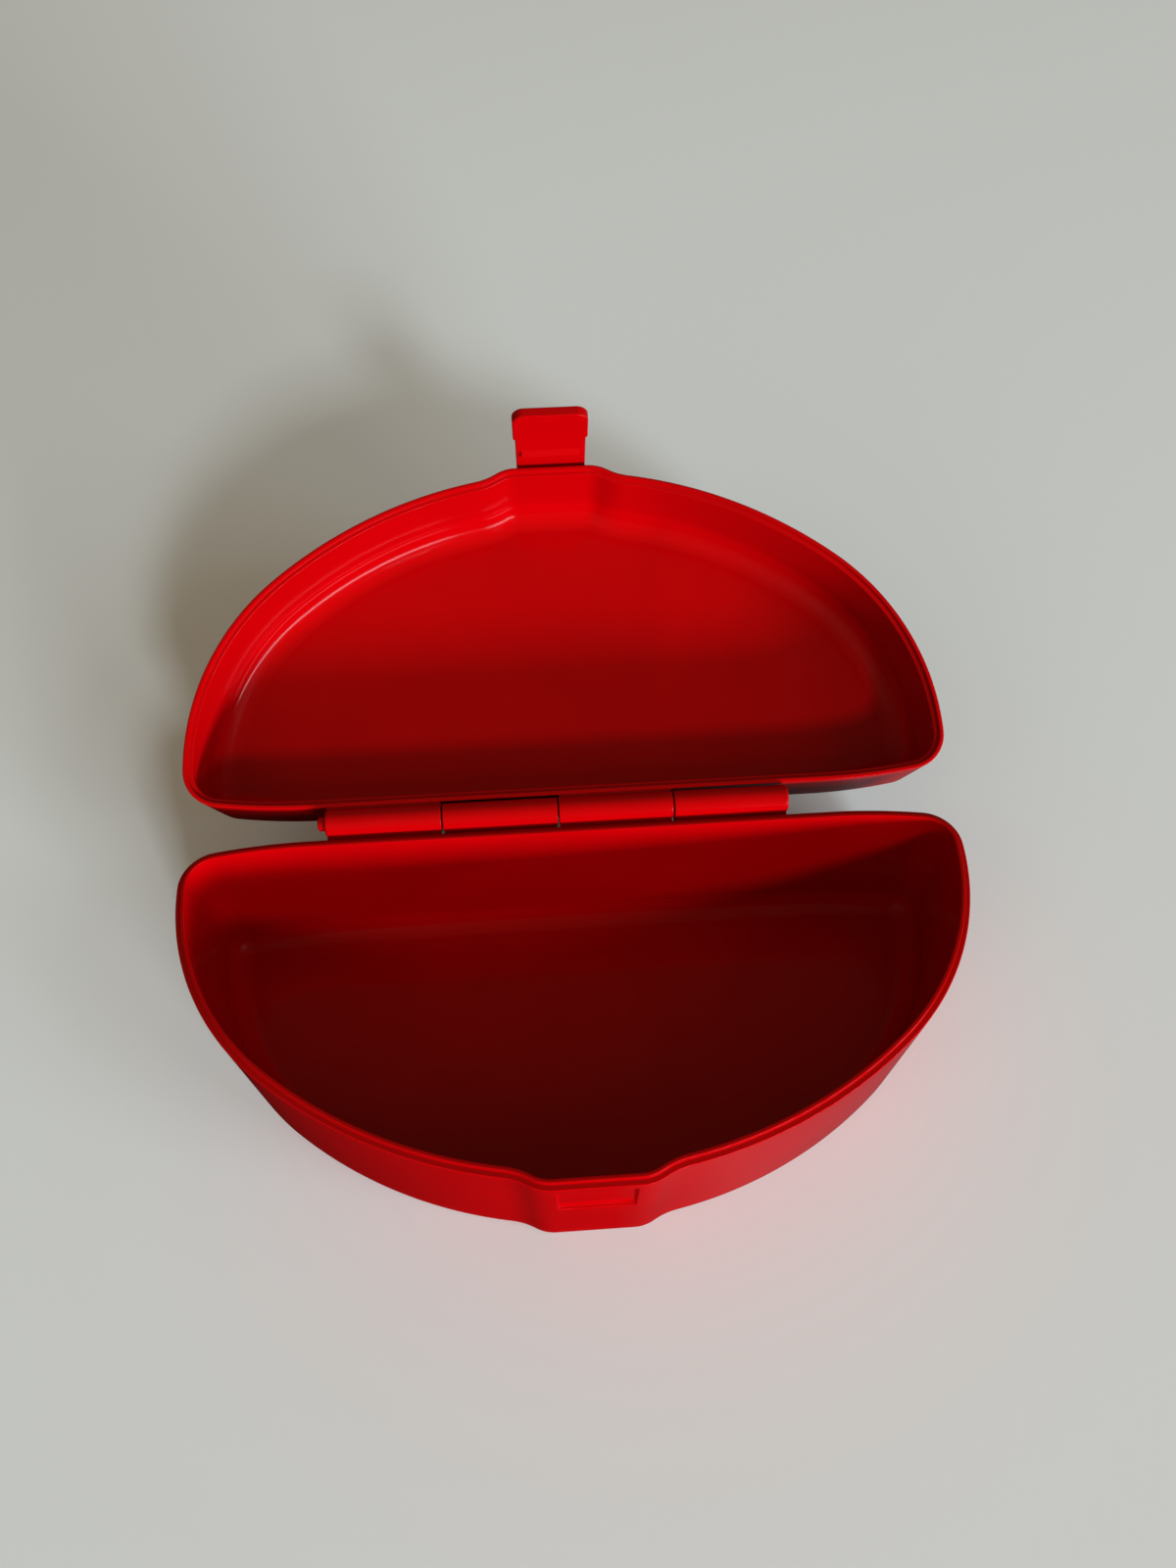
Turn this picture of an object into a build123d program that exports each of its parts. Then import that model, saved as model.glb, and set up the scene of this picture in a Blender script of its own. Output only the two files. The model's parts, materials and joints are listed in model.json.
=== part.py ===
from build123d import *
import math
import os

# Half-moon box of moulded plastic, in millimetres. The base stands on z = 0 with its back and hinge
# towards +Y, its front boss towards -Y and its lid swung open behind it. x = 0 is the middle of the box.

# Outline from above: two arcs a side in front of the widest line, a nearly straight back behind it
WIDTH = 190.0
FRONT_REACH = 74.4
SIDE_ROUND_SHARE = 0.845
BACK_REACH = 11.0
BACK_BOW_RADIUS = 150.0
BACK_BOW_TURN = 8.7

# Front boss: a flat face that stands proud of the front arc and runs into it through two arcs a side
BOSS_PROUD = 1.6
BOSS_ROOT_HALF = 20.0
BOSS_SHOULDER_RADIUS = 10.5
BOSS_SLOPE = 30.0

# Shells
BASE_HEIGHT = 44.5
BASE_WALL = 2.4
BASE_FLOOR = 3.0
BASE_FLOOR_FILLET = 5.5
LID_HEIGHT = 24.0
LID_WALL = 2.2
LID_TOP = 1.8
LID_TOP_FILLET = 4.0
LID_EDGE_ROUND = 2.0
LID_EDGE_STEPS = 3
DRAFT = 1.25

# Rim: a tongue on the base in a rebate of the lid
TONGUE_THICKNESS = 1.0
TONGUE_HEIGHT = 1.2
RIM_GAP = 0.3
TONGUE_CLEARANCE = 0.3

# Hinge: four knuckles, the odd ones on the lid, counted from -X
OPEN_ANGLE = 158.2
HINGE_SETBACK = 3.92
HINGE_RISE = 1.0
HINGE_MIDDLE_X = -3.3
KNUCKLE_RADIUS = 3.4
KNUCKLE_PITCH = 28.5
KNUCKLE_COUNT = 4
KNUCKLE_GAP = 0.4
KNUCKLE_END_BEVEL = 0.8
GUSSET_DROP = 9.0
BASE_WEB_DEPTH = 1.2
LID_WEB_DEPTH = 0.3
STOP_GAP = 0.3
HEEL_TOP = 0.6
HEEL_HEIGHT = 1.6
WEB_SINK = 0.7

# Hinge pin, with a low head at its -X end
PIN_RADIUS = 1.5
PIN_CLEARANCE = 0.05
PIN_HEAD_RADIUS = 1.8
PIN_HEAD_LENGTH = 1.8
PIN_HEAD_BEVEL = 0.6
PIN_HEAD_GAP = 0.1
BLIND_END = 2.5
PIN_END_GAP = 0.4

# Latch pocket in the base's boss, below a plain band that the hook rib catches under
POCKET_WIDTH = 17.0
POCKET_TOP = 3.0
POCKET_HEIGHT = 15.7
POCKET_DEPTH = 1.2
POCKET_ROUND = 0.6

# Latch clip, its ears on the lid and its pin
CLIP_LEAN = 6.0
CLIP_PIVOT_OUT = 2.9
CLIP_PIVOT_UP = 7.0
CLIP_KNUCKLE_RADIUS = 2.5
CLIP_KNUCKLE_WIDTH = 10.6
EAR_RADIUS = 2.6
EAR_WIDTH = 2.6
EAR_SIDE_GAP = 0.3
EAR_TOP_GAP = 0.5
CLIP_FACE_GAP = 0.4
CLIP_NECK_WIDTH = 17.9
CLIP_NECK_THICKNESS = 1.9
CLIP_TAB_WIDTH = 18.9
CLIP_TAB_THICKNESS = 2.7
CLIP_TAB_LENGTH = 10.0
CLIP_TAB_ROUND = 3.0
CLIP_EDGE_BEVEL = 0.4
CLIP_LENGTH = 20.3
HOOK_WIDTH = 15.0
HOOK_HEIGHT = 2.0
HOOK_BITE = 0.75
HOOK_GAP = 0.3
LATCH_PIN_RADIUS = 1.0
LATCH_PIN_CLEARANCE = 0.05

# How level an edge must be to count as flat
FLAT_TOLERANCE = 0.001

# Places that follow from the sizes above
DEPTH = FRONT_REACH + BACK_REACH
BACK_Y = DEPTH / 2
WIDEST_Y = BACK_Y - BACK_REACH
BOSS_Y = -DEPTH / 2 - BOSS_PROUD
HINGE_Y = BACK_Y + HINGE_SETBACK
HINGE_Z = BASE_HEIGHT + HINGE_RISE
LID_RIM_Z = BASE_HEIGHT + RIM_GAP
HINGE_AXIS = Axis((0, HINGE_Y, HINGE_Z), (1, 0, 0))
HINGE_START_X = HINGE_MIDDLE_X - KNUCKLE_PITCH * KNUCKLE_COUNT / 2
HINGE_END_X = HINGE_MIDDLE_X + KNUCKLE_PITCH * KNUCKLE_COUNT / 2
PIVOT_Y = BOSS_Y - CLIP_PIVOT_OUT
PIVOT_Z = LID_RIM_Z + CLIP_PIVOT_UP
PIVOT_AXIS = Axis((0, PIVOT_Y, PIVOT_Z), (1, 0, 0))


def draft_inset(rise):
    """How far the drafted walls have come in at a distance from the rim."""
    return rise * math.tan(math.radians(DRAFT))


def right_arcs():
    """Arcs of the outline's right half, from the back to the boss.

    Each is a centre, a radius, a start and a turn in degrees, and -1 where the outline is hollow there.
    """
    half = WIDTH / 2
    bow_turn = math.radians(BACK_BOW_TURN)
    corner_radius = (BACK_REACH - BACK_BOW_RADIUS * (1 - math.cos(bow_turn))) / math.cos(bow_turn)
    corner_x = half - corner_radius
    bow_x = corner_x + (corner_radius - BACK_BOW_RADIUS) * math.sin(bow_turn)

    side_radius = SIDE_ROUND_SHARE * FRONT_REACH
    side_x = half - side_radius
    front_radius = (side_x**2 + FRONT_REACH**2 - side_radius**2) / (2 * (FRONT_REACH - side_radius))
    front_rise = front_radius - FRONT_REACH
    side_turn = math.degrees(math.atan2(front_rise, side_x))

    slope = math.radians(BOSS_SLOPE)
    root = math.asin(BOSS_ROOT_HALF / front_radius)
    root_turn = math.degrees(root)
    root_y = WIDEST_Y + front_rise - front_radius * math.cos(root)
    drop = root_y - BOSS_Y - BOSS_SHOULDER_RADIUS * (1 - math.cos(slope))
    hollow_radius = drop / (math.cos(root) - math.cos(slope))
    hollow_x = BOSS_ROOT_HALF + hollow_radius * math.sin(root)
    hollow_y = root_y - hollow_radius * math.cos(root)
    shoulder_x = hollow_x - (hollow_radius + BOSS_SHOULDER_RADIUS) * math.sin(slope)

    return [
        ((bow_x, BACK_Y - BACK_BOW_RADIUS), BACK_BOW_RADIUS, 90 - BACK_BOW_TURN, BACK_BOW_TURN, 1),
        ((corner_x, WIDEST_Y), corner_radius, 0, 90 - BACK_BOW_TURN, 1),
        ((side_x, WIDEST_Y), side_radius, -side_turn, side_turn, 1),
        ((0, WIDEST_Y + front_rise), front_radius, root_turn - 90, 90 - root_turn - side_turn, 1),
        ((hollow_x, hollow_y), hollow_radius, 90 + root_turn, BOSS_SLOPE - root_turn, -1),
        ((shoulder_x, BOSS_Y + BOSS_SHOULDER_RADIUS), BOSS_SHOULDER_RADIUS, 270, BOSS_SLOPE, 1),
    ]


def outline(inset, z):
    """Face bounded by the box's outline, moved in by inset, at height z."""
    arcs = right_arcs()
    bow_x = arcs[0][0][0]
    shoulder_x = arcs[-1][0][0]
    right_side = []
    for centre, radius, start, turn, side in arcs:
        right_side.append(CenterArc(centre, radius - side * inset, start, turn))
    left_side = [mirror(edge, about=Plane.YZ) for edge in right_side]
    back_line = Line((-bow_x, BACK_Y - inset), (bow_x, BACK_Y - inset))
    boss_line = Line((-shoulder_x, BOSS_Y + inset), (shoulder_x, BOSS_Y + inset))
    return Pos(0, 0, z) * make_face([back_line, boss_line, *right_side, *left_side])


def walls(*sections):
    """Straight-walled solid through outlines, from low to high, each given as an inset and a height."""
    return loft([outline(*section) for section in sections], ruled=True)


def edges_at(solid, z):
    """Edges that lie flat at height z."""
    return solid.edges().filter_by_position(Axis.Z, z - FLAT_TOLERANCE, z + FLAT_TOLERANCE)


def bar(radius, start_x, end_x, y, z):
    """Round bar along X."""
    from_start = (Align.CENTER, Align.CENTER, Align.MIN)
    return Pos(start_x, y, z) * Rot(0, 90, 0) * Cylinder(radius, end_x - start_x, align=from_start)


def prism(points, start_x, end_x, y, z):
    """Straight-sided bar along X. The points are (y, z) pairs about the given place."""
    face = make_face(Polyline(*[(0, y + py, z + pz) for py, pz in points], close=True))
    return Pos(start_x, 0, 0) * extrude(face, end_x - start_x, dir=(1, 0, 0))


def knuckle_span(index):
    """Start and end of one knuckle along X, with half a gap at each inner seam."""
    start = HINGE_START_X + index * KNUCKLE_PITCH
    end = start + KNUCKLE_PITCH
    first = index == 0
    last = index == KNUCKLE_COUNT - 1
    return start + (0 if first else KNUCKLE_GAP / 2), end - (0 if last else KNUCKLE_GAP / 2)


def knuckle_barrel(index):
    """Round of one knuckle. The barrel's two outer ends are bevelled."""
    start, end = knuckle_span(index)
    barrel = bar(KNUCKLE_RADIUS, start, end, HINGE_Y, HINGE_Z)
    if index == 0:
        barrel = chamfer(barrel.faces().sort_by(Axis.X)[0].edges(), KNUCKLE_END_BEVEL)
    if index == KNUCKLE_COUNT - 1:
        barrel = chamfer(barrel.faces().sort_by(Axis.X)[-1].edges(), KNUCKLE_END_BEVEL)
    return barrel


def gusset(index, up, web_depth):
    """Web that carries a knuckle: level near the rim, then sloping from the wall to a tangent on the barrel.

    up is +1 for the lid, whose wall stands above the rim when shut, and -1 for the base.
    web_depth is how far the level face lies behind the shell's own rim.
    """
    start, end = knuckle_span(index)
    if index == 0:
        start += KNUCKLE_END_BEVEL
    if index == KNUCKLE_COUNT - 1:
        end -= KNUCKLE_END_BEVEL
    rim = (LID_RIM_Z if up > 0 else BASE_HEIGHT) - HINGE_Z
    wall_y = -HINGE_SETBACK - WEB_SINK
    level = rim + up * web_depth
    foot = rim + up * GUSSET_DROP
    reach = math.hypot(wall_y, foot)
    swing = math.atan2(up * foot, -wall_y) - math.asin(KNUCKLE_RADIUS / reach)
    run = math.sqrt(reach**2 - KNUCKLE_RADIUS**2)
    tangent = (wall_y + run * math.cos(swing), foot - up * run * math.sin(swing))
    corners = [(wall_y, level), (0, level), (0, 0), tangent, (wall_y, foot)]
    return prism(corners, start, end, HINGE_Y, HINGE_Z)


def stop_heel(index):
    """Tooth on a lid knuckle that meets the base's back wall at wide open, turned to the shut position."""
    start, end = knuckle_span(index)
    if index == 0:
        start += KNUCKLE_END_BEVEL
    face_y = STOP_GAP - HINGE_SETBACK
    top = -HINGE_RISE - HEEL_TOP
    foot = top - HEEL_HEIGHT
    corners = [(face_y, top), (0, top), (0, -KNUCKLE_RADIUS), (face_y, foot)]
    tooth = prism(corners, start, end, HINGE_Y, HINGE_Z)
    return tooth.rotate(HINGE_AXIS, OPEN_ANGLE)


def hinge_bore():
    """Blind bore through the knuckles, open at the -X end."""
    return bar(PIN_RADIUS + PIN_CLEARANCE, HINGE_START_X, HINGE_END_X - BLIND_END, HINGE_Y, HINGE_Z)


def base_shell():
    """Deep tray with the rim's tongue, the latch pocket and the even knuckles."""
    body = walls((draft_inset(BASE_HEIGHT), 0), (0, BASE_HEIGHT))
    tongue_top = BASE_HEIGHT + TONGUE_HEIGHT
    tongue_inset = BASE_WALL - TONGUE_THICKNESS
    tongue = walls((tongue_inset, BASE_HEIGHT - TONGUE_HEIGHT), (tongue_inset, tongue_top))
    cavity = walls(
        (BASE_WALL + draft_inset(BASE_HEIGHT - BASE_FLOOR), BASE_FLOOR),
        (BASE_WALL - draft_inset(TONGUE_HEIGHT), tongue_top),
    )
    cavity = fillet(edges_at(cavity, BASE_FLOOR), BASE_FLOOR_FILLET)
    body = body + tongue - cavity

    pocket_middle_z = BASE_HEIGHT - POCKET_TOP - POCKET_HEIGHT / 2
    pocket = Pos(0, BOSS_Y, pocket_middle_z) * Box(POCKET_WIDTH, 2 * POCKET_DEPTH, POCKET_HEIGHT)
    pocket = fillet(pocket.faces().sort_by(Axis.Y)[-1].edges(), POCKET_ROUND)
    body = body - pocket

    for index in range(1, KNUCKLE_COUNT, 2):
        body = body + knuckle_barrel(index) + gusset(index, -1, BASE_WEB_DEPTH)
    return body - hinge_bore()


def lid_edge():
    """Sections that round the outer edge of the lid's top."""
    start_z = LID_RIM_Z + LID_HEIGHT - LID_EDGE_ROUND
    start_inset = draft_inset(LID_HEIGHT - LID_EDGE_ROUND)
    sections = []
    for step in range(LID_EDGE_STEPS + 1):
        turn = math.radians(90 * step / LID_EDGE_STEPS)
        inset = start_inset + LID_EDGE_ROUND * (1 - math.cos(turn))
        sections.append((inset, start_z + LID_EDGE_ROUND * math.sin(turn)))
    return sections


def lid_shell():
    """Shallow lid in the shut position, with the odd knuckles, the rebate and the clip's ears."""
    top_z = LID_RIM_Z + LID_HEIGHT
    ceiling = top_z - LID_TOP
    body = walls((0, LID_RIM_Z), *lid_edge())
    cavity = walls(
        (LID_WALL - draft_inset(TONGUE_HEIGHT), LID_RIM_Z - TONGUE_HEIGHT),
        (LID_WALL + draft_inset(ceiling - LID_RIM_Z), ceiling),
    )
    cavity = fillet(edges_at(cavity, ceiling), LID_TOP_FILLET)
    rebate_inset = BASE_WALL - TONGUE_THICKNESS - TONGUE_CLEARANCE
    rebate_top = BASE_HEIGHT + TONGUE_HEIGHT + TONGUE_CLEARANCE
    rebate = walls((rebate_inset, LID_RIM_Z - TONGUE_HEIGHT), (rebate_inset, rebate_top))
    body = body - cavity - rebate

    for index in range(0, KNUCKLE_COUNT, 2):
        body = body + knuckle_barrel(index) + gusset(index, 1, LID_WEB_DEPTH) + stop_heel(index)
    for side in (-1, 1):
        body = body + clip_ear(side)
    return body - hinge_bore() - latch_bore()


def latch_bore():
    """Bore through both ears and the clip's knuckle."""
    return bar(LATCH_PIN_RADIUS + LATCH_PIN_CLEARANCE, -CLIP_NECK_WIDTH, CLIP_NECK_WIDTH, PIVOT_Y, PIVOT_Z)


def ear_span(side):
    """Inner and outer face of one ear along X, in rising order."""
    inner = CLIP_KNUCKLE_WIDTH / 2 + EAR_SIDE_GAP
    return sorted((side * inner, side * (inner + EAR_WIDTH)))


def clip_ear(side):
    """Ear on the lid's boss that holds one end of the latch pin."""
    start, end = ear_span(side)
    root = CLIP_PIVOT_OUT + draft_inset(CLIP_PIVOT_UP + EAR_RADIUS) + WEB_SINK
    corners = [(0, -EAR_RADIUS), (root, -EAR_RADIUS), (root, EAR_RADIUS), (0, EAR_RADIUS)]
    block = prism(corners, start, end, PIVOT_Y, PIVOT_Z)
    return bar(EAR_RADIUS, start, end, PIVOT_Y, PIVOT_Z) + block


def clip_plate(width, thickness, top_z, bottom_z):
    """Upright plate whose inner face stands just off the boss."""
    middle_y = BOSS_Y - CLIP_FACE_GAP - thickness / 2
    return Pos(0, middle_y, (top_z + bottom_z) / 2) * Box(width, thickness, top_z - bottom_z)


def latch_clip():
    """Clip in the shut and latched position: knuckle, neck, finger tab and hook rib."""
    tip_z = LID_RIM_Z - CLIP_LENGTH
    tab_top = tip_z + CLIP_TAB_LENGTH
    neck_top = PIVOT_Z - EAR_RADIUS - EAR_TOP_GAP
    knuckle = bar(CLIP_KNUCKLE_RADIUS, -CLIP_KNUCKLE_WIDTH / 2, CLIP_KNUCKLE_WIDTH / 2, PIVOT_Y, PIVOT_Z)
    stem = clip_plate(CLIP_KNUCKLE_WIDTH, CLIP_NECK_THICKNESS, PIVOT_Z, tab_top)
    neck = clip_plate(CLIP_NECK_WIDTH, CLIP_NECK_THICKNESS, neck_top, tab_top)
    tab = clip_plate(CLIP_TAB_WIDTH, CLIP_TAB_THICKNESS, tab_top, tip_z)
    tab = fillet(tab.edges().filter_by(Axis.Y).group_by(Axis.Z)[0], CLIP_TAB_ROUND)
    tab = chamfer(tab.faces().sort_by(Axis.Y)[0].edges(), CLIP_EDGE_BEVEL)
    hook_top = BASE_HEIGHT - POCKET_TOP - HOOK_GAP
    hook_inner = BOSS_Y + HOOK_BITE
    hook_outer = BOSS_Y - CLIP_FACE_GAP - WEB_SINK
    hook = prism(
        [
            (hook_outer, hook_top),
            (hook_inner, hook_top),
            (hook_inner, hook_top - HOOK_HEIGHT / 2),
            (hook_outer, hook_top - HOOK_HEIGHT - WEB_SINK),
        ],
        -HOOK_WIDTH / 2,
        HOOK_WIDTH / 2,
        0,
        0,
    )
    return knuckle + stem + neck + tab + hook - latch_bore()


def hinge_pin():
    """Pin through all four knuckles, with its head just outside the first."""
    head_end = HINGE_START_X - PIN_HEAD_GAP
    head = bar(PIN_HEAD_RADIUS, head_end - PIN_HEAD_LENGTH, head_end, HINGE_Y, HINGE_Z)
    head = chamfer(head.faces().sort_by(Axis.X)[0].edges(), PIN_HEAD_BEVEL)
    return head + bar(PIN_RADIUS, head_end, HINGE_END_X - BLIND_END - PIN_END_GAP, HINGE_Y, HINGE_Z)


def latch_pin():
    """Plain pin, flush with the ears' outer faces."""
    return bar(LATCH_PIN_RADIUS, ear_span(-1)[0], ear_span(1)[1], PIVOT_Y, PIVOT_Z)


def swung_open(solid):
    """Turns what rides on the lid from the shut position to the open one."""
    return solid.rotate(HINGE_AXIS, -OPEN_ANGLE)


def main():
    nodes = {
        "base_shell": base_shell(),
        "lid_shell": swung_open(lid_shell()),
        "hinge_pin": hinge_pin(),
        "latch_clip": swung_open(latch_clip().rotate(PIVOT_AXIS, -CLIP_LEAN)),
        "latch_pin": swung_open(latch_pin()),
    }
    os.makedirs("parts", exist_ok=True)
    for name, solid in nodes.items():
        export_step(solid, f"parts/{name}.step")


if __name__ == "__main__":
    main()
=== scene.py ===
import json
import math
from collections import namedtuple

import bmesh
import bpy
from mathutils import Matrix, Vector


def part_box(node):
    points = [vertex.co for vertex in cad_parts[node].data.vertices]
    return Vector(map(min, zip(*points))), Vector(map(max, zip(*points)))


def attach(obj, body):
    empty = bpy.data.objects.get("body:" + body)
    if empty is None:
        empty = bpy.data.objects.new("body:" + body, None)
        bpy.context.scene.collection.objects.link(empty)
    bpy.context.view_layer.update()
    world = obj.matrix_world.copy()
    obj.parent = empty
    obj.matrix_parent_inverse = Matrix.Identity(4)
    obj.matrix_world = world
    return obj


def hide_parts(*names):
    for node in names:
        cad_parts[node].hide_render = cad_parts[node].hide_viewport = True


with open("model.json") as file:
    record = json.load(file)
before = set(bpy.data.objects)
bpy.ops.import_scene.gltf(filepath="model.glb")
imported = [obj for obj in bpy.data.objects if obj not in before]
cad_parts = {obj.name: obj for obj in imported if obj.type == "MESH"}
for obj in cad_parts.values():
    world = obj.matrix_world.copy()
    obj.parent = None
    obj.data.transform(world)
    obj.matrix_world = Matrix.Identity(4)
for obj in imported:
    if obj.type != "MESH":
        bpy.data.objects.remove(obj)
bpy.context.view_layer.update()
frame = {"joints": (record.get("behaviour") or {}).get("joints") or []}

bl_info = {
    "name": "Half-moon hinged box",
    "version": (1, 0, 0),
    "blender": (4, 5, 0),
    "location": "View3D > Sidebar > Half-moon box",
    "description": "Moulded shells, latch clip and pins of a half-moon box, on a plain stage",
    "category": "Object",
}

MM = 0.001
X_AXIS = Vector((1, 0, 0))
Z_AXIS = Vector((0, 0, 1))
QUARTER = math.pi / 2

# What the frame gives: the hinge's axis, how far the lid opens, how far the clip leans, and two nodes' boxes.
JOINTS = {joint["name"]: joint for joint in frame["joints"]}
HINGE = Vector(JOINTS["lid_hinge"]["pos_m"])
OPEN_TURN = math.radians(JOINTS["lid_hinge"]["range_deg"][1])
CLIP_LEAN = -math.radians(JOINTS["clip_pivot"]["range_deg"][0])
BASE_LOW, BASE_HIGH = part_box("base_shell")
PIN_LOW, PIN_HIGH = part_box("hinge_pin")

# The four knuckles along the hinge, from the left, and whose they are.
KNUCKLES = 4
LID_KNUCKLES = (0, 2)
BASE_KNUCKLES = (1, 3)

# Fineness of the meshes: longest edge on an arc and on a straight wall, and steps on arcs, bars and rounds.
FINE_CURVE = 1.2 * MM
STRAIGHT_STEP = 6 * MM
LEAST_ARC_STEPS = 6
BAR_SEGMENTS = 48
WEB_ROOT_STEPS = 16
PIN_STEPS = 40
STEP_SEGMENTS = 2
EDGE_SEGMENTS = 3
PIN_END_SEGMENTS = 4
LID_EDGE_SEGMENTS = 6
TAB_SEGMENTS = 8
BASE_FILLET_SEGMENTS = 10
LID_FILLET_SEGMENTS = 12

# Points nearer than this are one, edges sharper than this count as edges, and a joined solid keeps this share of
# its faces.
WELD = 0.001 * MM
SHARP_ANGLE = math.radians(32)
FUSED_SHARE = 0.9

# The stage, in metres: the table's half side, where on it the painted reflection turns from its left colour to its
# right one, and where the lamps point and from how far.
TABLE_HALF = 1.2
PAINTED_REFLECTION_LEFT_END = 5 * MM
PAINTED_REFLECTION_RIGHT_START = 40 * MM
LAMP_AIM = Vector((0, 45, 40)) * MM
LAMP_DISTANCE = 7.0

# Strengths of the surround: as it lights the box, as the gloss shows it, and as it shows behind the table.
FILL_STRENGTH = 0.36
ROOM_IN_GLOSS_STRENGTH = 0.1
BACKDROP_STRENGTH = 1.0

# Each lamp's degrees to the right of the front and up, width and height in metres, power, linear tint, and whether
# the gloss shows it.
Lamp = namedtuple("Lamp", "name to_right rise size watts tint in_gloss")
DAYLIGHT = (0.95, 0.985, 1.0)
LAMPS = (
    Lamp("low_window", 32, 4, (2.4, 0.94), 895, DAYLIGHT, False),
    Lamp("bright_sky", 20, 28, (0.94, 0.94), 217, DAYLIGHT, False),
    Lamp("tall_window", 64, 30, (2.4, 3.5), 109, (0.86, 0.95, 1.0), False),
    Lamp("window_in_gloss", 44, 4.5, (7.5, 0.86), 137, (0.86, 0.9, 1.0), True),
    Lamp("room_fill", -40, 35, (5.4, 5.4), 76, (1.0, 0.97, 0.92), False),
)

# The photograph's camera: its place, how far it looks down, to the right and tilts, in degrees, and its lens and
# sensor in millimetres.
CAMERA_PLACE = Vector((-7.18, -103.55, 294.46)) * MM
CAMERA_DOWN, CAMERA_RIGHT, CAMERA_ROLL = 57.601, 4.277, -0.449
CAMERA_LENS, CAMERA_SENSOR = 27.0, 36.0
CAMERA_CLIP = 10 * MM


def length(name, description, size_mm):
    """Property for a length, with its default given in millimetres."""
    return bpy.props.FloatProperty(
        name=name, description=description, default=size_mm * MM, min=0, precision=5, unit="LENGTH"
    )


def angle(name, description, degrees):
    """Property for an angle, with its default given in degrees."""
    return bpy.props.FloatProperty(
        name=name, description=description, default=math.radians(degrees), subtype="ANGLE"
    )


def colour(name, description, code):
    """Property for a colour, with its default given as an sRGB hex code."""
    return bpy.props.FloatVectorProperty(
        name=name, description=description, default=linear(code), size=4, min=0, max=1, subtype="COLOR"
    )


def share(name, description, value):
    """Property for a share from 0 to 1."""
    return bpy.props.FloatProperty(
        name=name, description=description, default=value, min=0, max=1, subtype="FACTOR"
    )


def linear(code):
    """Linear RGBA of an sRGB hex code."""
    parts = [int(code[i : i + 2], 16) / 255 for i in (1, 3, 5)]
    return tuple(p / 12.92 if p <= 0.04045 else ((p + 0.055) / 1.055) ** 2.4 for p in parts) + (1.0,)


class OutlineSizes(bpy.types.PropertyGroup):
    """Outline of both shells, seen from above."""

    width: length("Width", "Greatest width of the box", (BASE_HIGH.x - BASE_LOW.x) / MM)
    front_reach: length("Front reach", "From the widest line to the front arc", 74.4)
    side_share: share("Side roundness", "Side arc's radius as a share of the front reach", 0.845)
    back_reach: length("Back reach", "From the widest line to the back wall", 11)
    bow_radius: length("Back bow", "Radius that eases the back wall into the corners", 150)
    bow_turn: angle("Back bow turn", "Turn of that easing", 8.7)
    boss_proud: length("Boss", "How far the boss stands proud of the front arc", 1.6)
    boss_root_half: length("Boss root", "Half width over the boss's roots", 20)
    boss_shoulder: length("Boss shoulder", "Radius of the boss's shoulders", 10.5)
    boss_slope: angle("Boss slope", "Steepest slope of the boss's sides", 30)


class ShellSizes(bpy.types.PropertyGroup):
    """Walls and rims of the two shells."""

    base_height: length("Base height", "Height of the base's rim land", 44.5)
    base_wall: length("Base wall", "Thickness of the base's wall at the rim", 2.4)
    base_floor: length("Base floor", "Thickness of the base's floor", 3)
    base_fillet: length("Base fillet", "Round between the base's wall and floor", 5.5)
    foot_round: length("Foot round", "Round of the base's foot edge", 0.5)
    lid_height: length("Lid height", "Height of the lid", 24)
    lid_wall: length("Lid wall", "Thickness of the lid's wall at the rim", 2.2)
    lid_top: length("Lid top", "Thickness of the lid's top", 1.8)
    lid_fillet: length("Lid fillet", "Round between the lid's wall and ceiling", 6.4)
    lid_edge: length("Lid edge", "Round of the lid's outer edge", 2)
    draft: angle("Draft", "Draft of all upright walls", 1.25)
    rim_round: length("Rim round", "Round of the outer rim edges", 0.35)
    step_round: length("Step round", "Round of the tongue's and rebate's edges", 0.25)
    tongue_thickness: length("Tongue thickness", "Thickness of the base's tongue", 1)
    tongue_height: length("Tongue height", "Height of the base's tongue", 1.2)
    rim_gap: length("Rim gap", "Gap between the rims when shut", 0.3)
    tongue_clearance: length("Tongue clearance", "Room round the tongue in the rebate", 0.3)
    pocket_width: length("Pocket width", "Width of the latch pocket", 17)
    pocket_height: length("Pocket height", "Height of the latch pocket", 15.7)
    pocket_top: length("Pocket top", "Plain band above the latch pocket", 3)
    pocket_depth: length("Pocket depth", "Depth of the latch pocket", 1.2)
    pocket_round: length("Pocket round", "Round at the bottom of the latch pocket", 0.5)
    mouth_round: length("Mouth round", "Round at the mouth of the latch pocket", 0.4)


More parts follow.
